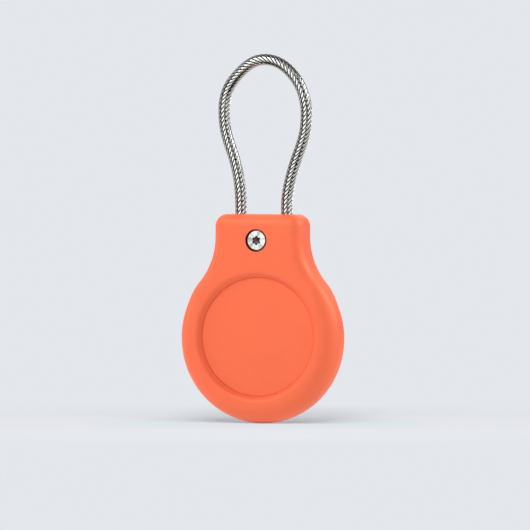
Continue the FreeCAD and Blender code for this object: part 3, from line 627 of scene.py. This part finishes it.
class StageSettings(bpy.types.PropertyGroup):
    backdrop: bpy.props.FloatVectorProperty(
        name="Backdrop", description="Colour of the floor and the backdrop", subtype="COLOR", size=4,
        min=0.0, max=1.0, default=linear("#E4E7EC"))
    azimuth: bpy.props.FloatProperty(
        name="Azimuth", description="Direction of the camera round the tag", unit="ROTATION",
        default=math.radians(20.5))
    elevation: bpy.props.FloatProperty(
        name="Elevation", description="Height of the camera above the horizon", unit="ROTATION",
        default=math.radians(1.5))
    distance: bpy.props.FloatProperty(
        name="Distance", description="Distance of the camera from the tag", unit="LENGTH", default=3.0)
    view_width: bpy.props.FloatProperty(
        name="View width", description="Width that the picture covers at the tag", unit="LENGTH",
        precision=4, default=0.1324)


class TagSettings(bpy.types.PropertyGroup):
    case: bpy.props.PointerProperty(type=CaseSettings, name="Case")
    cable: bpy.props.PointerProperty(type=CableSettings, name="Cable")
    screw: bpy.props.PointerProperty(type=ScrewSettings, name="Screw")
    tracker: bpy.props.PointerProperty(type=TrackerSettings, name="Tracker")
    stage: bpy.props.PointerProperty(type=StageSettings, name="Stage")


def direction(azimuth, elevation):
    """Unit vector from the tag towards a place round it."""
    return Vector((math.sin(azimuth) * math.cos(elevation), -math.cos(azimuth) * math.cos(elevation),
                   math.sin(elevation)))


def look_back(name, data, place, back):
    """Camera or lamp at a place, turned against a direction."""
    holder = bpy.data.objects.new(name, data)
    holder.location = place
    holder.rotation_mode = "QUATERNION"
    holder.rotation_quaternion = (-back).to_track_quat("-Z", "Y")
    bpy.context.scene.collection.objects.link(holder)
    return holder


def seen_rays(tree):
    """1 for what the eye sees, straight, in a shine or through glass, and 0 for other light."""
    rays = add_node(tree, "ShaderNodeLightPath")
    seen = rays.outputs["Is Camera Ray"]
    for way in ("Is Glossy Ray", "Is Transmission Ray"):
        seen = add_node(tree, "ShaderNodeMath", {0: seen, 1: rays.outputs[way]}, operation="MAXIMUM")
    return seen


def facing_plane(name, middle, azimuth, elevation, away, width, height):
    """Upright or lying card that faces a point."""
    back = direction(azimuth, elevation)
    across = Vector((math.cos(azimuth), math.sin(azimuth), 0.0))
    upward = across.cross(back) * -1.0
    centre = middle + back * away
    corners = [tuple(centre + across * x * width / 2 + upward * y * height / 2) for x, y in CORNERS]
    mesh = bpy.data.meshes.new(name)
    mesh.from_pydata(corners, [], [(0, 1, 2, 3)])
    return mesh


class LUGGAGETAG_OT_stage(bpy.types.Operator):
    """Floor, backdrop, lamps and camera"""
    bl_idname = "luggagetag.stage"
    bl_label = "Stage"

    def execute(self, context):
        settings = context.scene.luggage_tag.stage
        self.place_camera(context, settings)
        self.make_world(context, settings.backdrop)
        floor = self.make_floor(settings.backdrop, cad_low.z)
        self.place_lamps(settings, floor)
        self.place_cards(settings)
        context.scene.view_settings.view_transform = "Standard"
        return {"FINISHED"}

    def place_camera(self, context, settings):
        """Camera whose picture's middle lies a little right of the tracker's middle and above it."""
        aim_right, aim_up = 0.00054, 0.01787
        across = Vector((math.cos(settings.azimuth), math.sin(settings.azimuth), 0.0))
        back = direction(settings.azimuth, settings.elevation)
        aim = Vector((0.0, 0.0, TRACKER_HEIGHT)) + across * aim_right + Vector((0.0, 0.0, aim_up))
        camera = bpy.data.cameras.new("camera")
        camera.lens = settings.distance * camera.sensor_width / settings.view_width
        camera.clip_start = 0.01
        camera.clip_end = 20.0
        context.scene.camera = look_back("camera", camera, aim + back * settings.distance, back)

    def make_world(self, context, shown):
        """The backdrop's colour to the eye, and a weak even light to the tag."""
        world = bpy.data.worlds.new("studio")
        tree = cleared_tree(world)
        backdrop = add_node(tree, "ShaderNodeBackground", {"Color": shown})
        ambient = add_node(tree, "ShaderNodeBackground", {"Color": linear("#FFFFFF"), "Strength": 0.22})
        both = add_node(tree, "ShaderNodeMixShader", {0: seen_rays(tree), 1: ambient, 2: backdrop})
        add_node(tree, "ShaderNodeOutputWorld", {"Surface": both})
        context.scene.world = world

    def make_floor(self, shown, height):
        """Pale paper: the backdrop's own colour far off, and more and more real light and shadow near
        the tag, where a cooler tone makes up for the orange light that falls on it."""
        material, tree, place = start_material("pale_paper_floor")
        flat = add_node(tree, "ShaderNodeVectorMath", {0: place, 1: (1.0, 1.0, 0.0)},
                        operation="MULTIPLY")
        reach = add_node(tree, "ShaderNodeVectorMath", {0: flat}, operation="LENGTH")
        far = add_node(tree, "ShaderNodeMapRange", {
            "Value": reach, "From Min": 0.05, "From Max": 0.15, "To Min": 0.42},
            interpolation_type="SMOOTHERSTEP")
        share = add_node(tree, "ShaderNodeMath", {0: seen_rays(tree), 1: far}, operation="MULTIPLY")
        near = add_node(tree, "ShaderNodeMapRange", {
            "Value": reach, "From Min": 0.005, "From Max": 0.05})
        tone = add_node(tree, "ShaderNodeMix", {
            0: near, 6: linear("#CCEAF2"), 7: linear("#EDF0F5")}, data_type="RGBA")
        paper = add_node(tree, "ShaderNodeBsdfDiffuse", {"Color": tone})
        glow = add_node(tree, "ShaderNodeEmission", {"Color": shown})
        both = add_node(tree, "ShaderNodeMixShader", {0: share, 1: paper, 2: glow})
        add_node(tree, "ShaderNodeOutputMaterial", {"Surface": both})
        half = 4.0
        mesh = bpy.data.meshes.new("floor")
        mesh.from_pydata([(x * half, y * half, height) for x, y in CORNERS], [], [(0, 1, 2, 3)])
        mesh.materials.append(material)
        floor = new_piece("floor", mesh)
        return floor

    def place_lamps(self, settings, floor):
        """Soft boxes: degrees right of the camera and above the horizon, distance, size, power, whether
        they show in the shine, and whether their light leaves the floor out or falls on it alone."""
        middle = Vector((0.0, 0.0, TRACKER_HEIGHT + 0.01))
        to_floor = middle.z - cad_low.z - 0.0002
        lamps = [
            ("key_softbox", -50.0, 46.0, 0.9, (0.55, 0.45), 3.9, True, "EXCLUDE"),
            ("left_softbox", -105.0, 24.0, 0.9, (0.4, 0.4), 3.6, False, "EXCLUDE"),
            ("right_softbox", 86.0, 32.0, 0.8, (0.4, 0.3), 3.6, True, "EXCLUDE"),
            ("back_top_softbox", 170.0, 60.0, 0.8, (0.3, 0.3), 5.2, False, "EXCLUDE"),
            ("front_softbox", -8.0, 28.0, 1.0, (0.35, 0.35), 1.3, False, "EXCLUDE"),
            ("shadow_softbox", -3.0, 20.0, 1.6, (0.4, 0.4), 15.0, False, "INCLUDE"),
            ("contact_softbox", 2.0, 52.0, 1.8, (1.6, 1.2), 23.8, False, "INCLUDE"),
            ("floor_bounce", 0.0, -90.0, to_floor, (0.2, 0.2), 0.03, False, ""),
        ]
        for name, turn, rise, away, size, power, shines, on_floor in lamps:
            back = direction(settings.azimuth + math.radians(turn), math.radians(rise))
            lamp = bpy.data.lights.new(name, "AREA")
            lamp.shape = "RECTANGLE"
            lamp.size, lamp.size_y = size
            lamp.energy = power
            holder = look_back(name, lamp, middle + back * away, back)
            holder.visible_camera = False
            holder.visible_glossy = shines
            if on_floor:
                reach = bpy.data.collections.new(name + "_reach")
                reach.objects.link(floor)
                reach.collection_objects[0].light_linking.link_state = on_floor
                holder.light_linking.receiver_collection = reach

    def place_cards(self, settings):
        """Black and white cards that only the shine sees, which bright metal reflects: degrees right of
        the camera and above the horizon, distance, width, height, brightness, and how far out from
        under the tag they lie."""
        cards = [
            ("front_card", -32.0, 0.0, 0.6, 0.585, 0.66, 1.9, 0.0),
            ("left_flag", -73.0, 0.0, 0.61, 0.33, 0.56, 0.0, 0.0),
            ("far_left_flag", -104.0, 0.0, 0.6, 0.42, 0.56, 0.7, 0.0),
            ("right_flag", 15.0, 0.0, 0.61, 0.444, 1.4, 0.0, 0.0),
            ("right_card", 66.0, 0.0, 0.6, 0.67, 0.5, 1.5, 0.0),
            ("rear_card", 174.0, 0.0, 0.6, 0.30, 0.7, 1.3, 0.0),
            ("rear_left_flag", -146.0, 0.0, 0.6, 0.34, 1.4, 0.3, 0.0),
            ("rear_right_flag", 138.0, 0.0, 0.6, 0.38, 1.4, 0.3, 0.0),
            ("low_card", 0.0, -90.0, 0.0409, 1.6, 1.6, 0.9, 0.0),
            ("low_right_flag", 15.0, -90.0, 0.0407, 0.12, 0.5, 0.0, 0.29),
            ("low_left_flag", -73.0, -90.0, 0.0405, 0.10, 0.5, 0.0, 0.29),
            ("high_flag", 0.0, 90.0, 0.7, 1.4, 1.4, 0.2, 0.0),
        ]
        middle = Vector((0.0, 0.0, TRACKER_HEIGHT + 0.02))
        for name, turn, rise, away, width, height, level, out in cards:
            material = bpy.data.materials.new(name)
            tree = cleared_tree(material)
            glow = add_node(tree, "ShaderNodeEmission", {"Color": linear("#FFFFFF"), "Strength": level})
            add_node(tree, "ShaderNodeOutputMaterial", {"Surface": glow})
            azimuth = settings.azimuth + math.radians(turn)
            centre = middle + direction(azimuth, 0.0) * out
            mesh = facing_plane(name, centre, azimuth, math.radians(rise), away, width, height)
            mesh.materials.append(material)
            card = new_piece(name, mesh)
            for ray in ("camera", "diffuse", "shadow", "transmission"):
                setattr(card, "visible_" + ray, False)


class LUGGAGETAG_OT_cable(bpy.types.Operator):
    """Wire rope loop: bright wires laid round a core along the loop's route"""
    bl_idname = "luggagetag.cable"
    bl_label = "Wire rope loop"

    def execute(self, context):
        settings = context.scene.luggage_tag.cable
        bare = route_curve()
        line = bpy.data.meshes.new_from_object(bare)
        path = [tuple(vertex.co) for vertex in line.vertices]
        length = sum((Vector(b) - Vector(a)).length for a, b in zip(path, path[1:]))
        shortest = 0.09
        if length < shortest:
            raise RuntimeError("the rope's route came out too short")
        # Painted shade: the rope's grooves and core are drawn near black.
        steel = drawn_wire_steel("drawn_stainless_wire", settings.colour, linear("#1C1B19"))
        context.scene.collection.objects.link(bare)
        rope = bake_modifier("wire_rope", bare, rope_tree(), {
            "Wire Count": settings.wire_count, "Wire Width": settings.wire_width,
            "Wire Depth": settings.wire_depth, "Wire Rounding": 0.14 * settings.wire_depth,
            "Lay Radius": settings.lay_radius, "Lay Length": settings.lay_length,
            "Core Radius": settings.core_radius, "Step": 0.0003, "Material": steel})
        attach(rope, "case_front")
        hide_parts("wire_cable")
        return {"FINISHED"}


class LUGGAGETAG_OT_case(bpy.types.Operator):
    """Moulded front and rear covers, and the cushions between them"""
    bl_idname = "luggagetag.case"
    bl_label = "Case covers"

    def execute(self, context):
        settings = context.scene.luggage_tag.case
        clearance = 0.00025
        # The covers carry painted shade round the screw's counterbore.
        dress(["front_cover", "rear_cover"],
              satin_moulded_abs("satin_moulded_case_abs", settings.colour, settings.grain,
                                well=(SCREW_HEIGHT, WASHER_HIGH.x + clearance, WASHER_HIGH.y)))
        dress(["front_cushion_ring", "rear_cushion_ring"],
              soft_rubber("silicone_cushion", linear("#141414")))
        return {"FINISHED"}


class LUGGAGETAG_OT_screw(bpy.types.Operator):
    """Clamp screw with its thread, the washer and the brass insert"""
    bl_idname = "luggagetag.screw"
    bl_label = "Screw, washer and insert"

    def execute(self, context):
        settings = context.scene.luggage_tag.screw
        front, seat, tip = HEAD_LOW.y, WASHER_LOW.y, HEAD_HIGH.y
        steel = turned_metal("turned_screw_steel", settings.colour, linear("#D0CECA"), 0.000377,
                             (0.0, front, SCREW_HEIGHT), roughness=0.2, strength=0.25, spread=0.9,
                             spoke_shade=0.75)
        thread_start, tip_left_plain = 0.0009, 0.00045
        length = tip - seat - thread_start - tip_left_plain
        blank = new_piece("screw_blank", self.blank(front, seat, tip))
        screw = bake_modifier("turned_screw", blank, thread_tree(), {
            "Turns": length / settings.pitch, "Length": length, "Ridge Centre": 0.00105,
            "Ridge Radius": 0.0002, "Steps per Turn": 32, "Material": steel,
            "Start": (0.0, seat + thread_start, SCREW_HEIGHT)})
        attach(screw, "screw_turning")
        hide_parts("clamp_screw")
        dress(["screw_washer"],
              rolled_metal("stamped_washer_steel", linear("#B4B4B4"), linear("#8E8E8F"), 0.3))
        dress(["threaded_insert"],
              turned_metal("turned_insert_brass", linear("#D9B169"), linear("#B98E48"), 0.000503,
                           (0.0, INSERT_FRONT, SCREW_HEIGHT), 0.25))
        return {"FINISHED"}

    def blank(self, front, seat, tip):
        """Screw without its thread: the recess is pressed in and painted dark as shade, the head's edge
        rounded.
        """
        head, shank, root, edge = 0.0025, 0.00125, 0.00102, 0.00025
        lobe_centre, lobe_radius = 0.00086, 0.00027

        def recess(share):
            return lambda angle: share * lobe_reach(angle, lobe_centre, lobe_radius)

        stations = [(0.0, front + 0.00105), (recess(0.55), front + 0.00088),
                    (recess(0.97), front + 0.0008), (recess(1.0), front + 0.0006),
                    (recess(1.0), front + 0.00006), (recess(1.05), front), (0.0014, front),
                    (0.0018, front), (head - edge, front)]
        steps = 5
        for step in range(1, steps + 1):
            turn = math.radians(90) * step / steps
            stations.append((head - edge + edge * math.sin(turn), front + edge - edge * math.cos(turn)))
        stations += [(head, seat - 0.00005), (head - 0.00005, seat), (shank, seat),
                     (shank, seat + 0.0006), (root, seat + 0.0008), (root, tip - 0.00035),
                     (0.0008, tip), (0.0, tip)]
        mesh = lathe(stations, 96, Vector((0.0, 0.0, SCREW_HEIGHT)))
        # Painted shade in the drive recess, from a light share at its rim to full at its floor.
        recess_reach, half_depth, rim_shade = 0.00116, 0.0005, 0.35
        recess_shade = mesh.attributes.new("recess", "FLOAT", "POINT")
        for vertex, mark in zip(mesh.vertices, recess_shade.data):
            off_axis = math.hypot(vertex.co.x, vertex.co.z - SCREW_HEIGHT)
            sunk = (vertex.co.y - front) / half_depth
            if off_axis < recess_reach and 0.0 < sunk < 2.4:
                mark.value = min(1.0, rim_shade + sunk)
        return mesh


class LUGGAGETAG_OT_sleeves(bpy.types.Operator):
    """Stop sleeves swaged on the rope's ends"""
    bl_idname = "luggagetag.sleeves"
    bl_label = "Stop sleeves"

    def execute(self, context):
        aluminium = rolled_metal("swaged_aluminium", linear("#D5D6D8"), linear("#A5A6A9"), 0.34)
        for name in ("left_sleeve", "right_sleeve"):
            sleeve = new_piece("swaged_" + name, self.swaged_tube(*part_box(name)))
            sleeve.data.materials.append(aluminium)
            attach(sleeve, "case_front")
            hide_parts(name)
        return {"FINISHED"}

    def swaged_tube(self, low, high):
        """Tube squeezed round the rope in two six-sided bands, where the press left its flats."""
        outer = (high.x - low.x) / 2
        bore, edge, flat_depth, band = 0.00145, 0.00025, 0.0002, 0.0018
        band_starts = (0.0008, 0.0034)

        def pressed(angle):
            off_flat = angle % math.radians(60) - math.radians(30)
            return min(outer, (outer - flat_depth) / math.cos(off_flat))

        stations = [(bore, low.z), (outer - edge, low.z), (outer, low.z + edge)]
        for rise in band_starts:
            start = low.z + rise
            stations += [(outer, start), (pressed, start + edge), (pressed, start + band - edge),
                         (outer, start + band)]
        stations += [(outer, high.z - edge), (outer - edge, high.z), (bore, high.z), (bore, low.z)]
        mesh = lathe(stations, 72, Vector())
        middle = (low + high) / 2
        for vertex in mesh.vertices:
            vertex.co = (vertex.co.x + middle.x, vertex.co.z + middle.y, vertex.co.y)
        mesh.flip_normals()
        smooth(mesh)
        return mesh


class LUGGAGETAG_OT_tracker(bpy.types.Operator):
    """Tracker's cap, base, door and seal"""
    bl_idname = "luggagetag.tracker"
    bl_label = "Tracker shell and door"

    def execute(self, context):
        settings = context.scene.luggage_tag
        case = settings.case
        cap = welded_copy("moulded_cap", "tracker_cap")
        cap.data.materials.append(
            satin_moulded_abs("satin_moulded_cap_abs", case.colour, case.grain * 0.8))
        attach(cap, "case_front")
        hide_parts("tracker_cap")
        dress(["tracker_base"], matte_dark_abs("matte_base_abs", settings.tracker.base_colour))
        # The door's coin slot gets painted shade.
        slot_reach = 0.0057
        dress(["battery_door"], turned_metal(
            "turned_door_steel", settings.tracker.door_colour, linear("#C4C4C7"), 0.001005,
            (0.0, 0.0, TRACKER_HEIGHT), roughness=0.22, strength=0.2, spread=0.75, spoke_shade=0.12,
            slot=(DOOR_FACE, slot_reach)))
        dress(["door_seal"], soft_rubber("lathe_cut_seal_rubber", linear("#101010")))
        return {"FINISHED"}


class LUGGAGETAG_OT_cell(bpy.types.Operator):
    """Coin cell and its contacts"""
    bl_idname = "luggagetag.cell"
    bl_label = "Coin cell and contacts"

    def execute(self, context):
        dress(["coin_cell"],
              rolled_metal("stamped_cell_steel", linear("#CFCFD1"), linear("#9C9CA0"), 0.24))
        dress(["negative_contact", "positive_contacts"],
              rolled_metal("nickelled_spring_strip", linear("#D8D2BE"), linear("#A59E88"), 0.22))
        return {"FINISHED"}


class LUGGAGETAG_OT_board(bpy.types.Operator):
    """Circuit board with its can, parts and antenna, and the sounder"""
    bl_idname = "luggagetag.board"
    bl_label = "Board and sounder"

    def execute(self, context):
        settings = context.scene.luggage_tag.tracker
        dress(["circuit_board"],
              solder_mask_board("solder_mask_board", settings.board_colour, linear("#C98F5A")))
        dress(["board_components"], moulded_epoxy("moulded_chip_epoxy", linear("#18191B")))
        dress(["sounder_ceramic"], fired_ceramic("fired_piezo_ceramic", linear("#E6DECB")))
        for node, name, colour, dark, roughness in (
                ("shield_can", "tinned_can_steel", "#C6C7CA", "#9A9BA0", 0.3),
                ("antenna_ring", "etched_antenna_copper", "#D08A5C", "#94543A", 0.28),
                ("sounder_plate", "rolled_sounder_brass", "#D6B36A", "#A8843F", 0.25),
                ("sounder_contacts", "gilt_pin_brass", "#E2BD70", "#B8924A", 0.18)):
            dress([node], rolled_metal(name, linear(colour), linear(dark), roughness))
        return {"FINISHED"}


class LUGGAGETAG_PT_panel(bpy.types.Panel):
    """Builds the tag piece by piece"""
    bl_idname = "LUGGAGETAG_PT_panel"
    bl_label = "Luggage Tag"
    bl_space_type = "VIEW_3D"
    bl_region_type = "UI"
    bl_category = "Luggage Tag"

    def draw(self, context):
        layout = self.layout
        settings = context.scene.luggage_tag
        for group in ("stage", "case", "cable", "screw", "tracker"):
            box = layout.box()
            box.label(text=group.capitalize())
            shown = getattr(settings, group)
            for name in shown.bl_rna.properties.keys():
                if name not in ("rna_type", "name"):
                    box.prop(shown, name)
        for operator in OPERATORS:
            layout.operator(operator.bl_idname)


OPERATORS = (
    LUGGAGETAG_OT_stage, LUGGAGETAG_OT_sleeves, LUGGAGETAG_OT_cable, LUGGAGETAG_OT_case,
    LUGGAGETAG_OT_screw, LUGGAGETAG_OT_tracker, LUGGAGETAG_OT_cell, LUGGAGETAG_OT_board,
)
GROUPS = (CaseSettings, CableSettings, ScrewSettings, TrackerSettings, StageSettings, TagSettings)


def register():
    for item in GROUPS + OPERATORS + (LUGGAGETAG_PT_panel,):
        bpy.utils.register_class(item)
    bpy.types.Scene.luggage_tag = bpy.props.PointerProperty(type=TagSettings)


def unregister():
    del bpy.types.Scene.luggage_tag
    for item in reversed(GROUPS + OPERATORS + (LUGGAGETAG_PT_panel,)):
        bpy.utils.unregister_class(item)


def main():
    """Builds every piece."""
    register()
    bpy.ops.luggagetag.stage()
    bpy.ops.luggagetag.sleeves()
    bpy.ops.luggagetag.cable()
    bpy.ops.luggagetag.case()
    bpy.ops.luggagetag.screw()
    bpy.ops.luggagetag.tracker()
    bpy.ops.luggagetag.cell()
    bpy.ops.luggagetag.board()


if __name__ == "__main__":
    main()
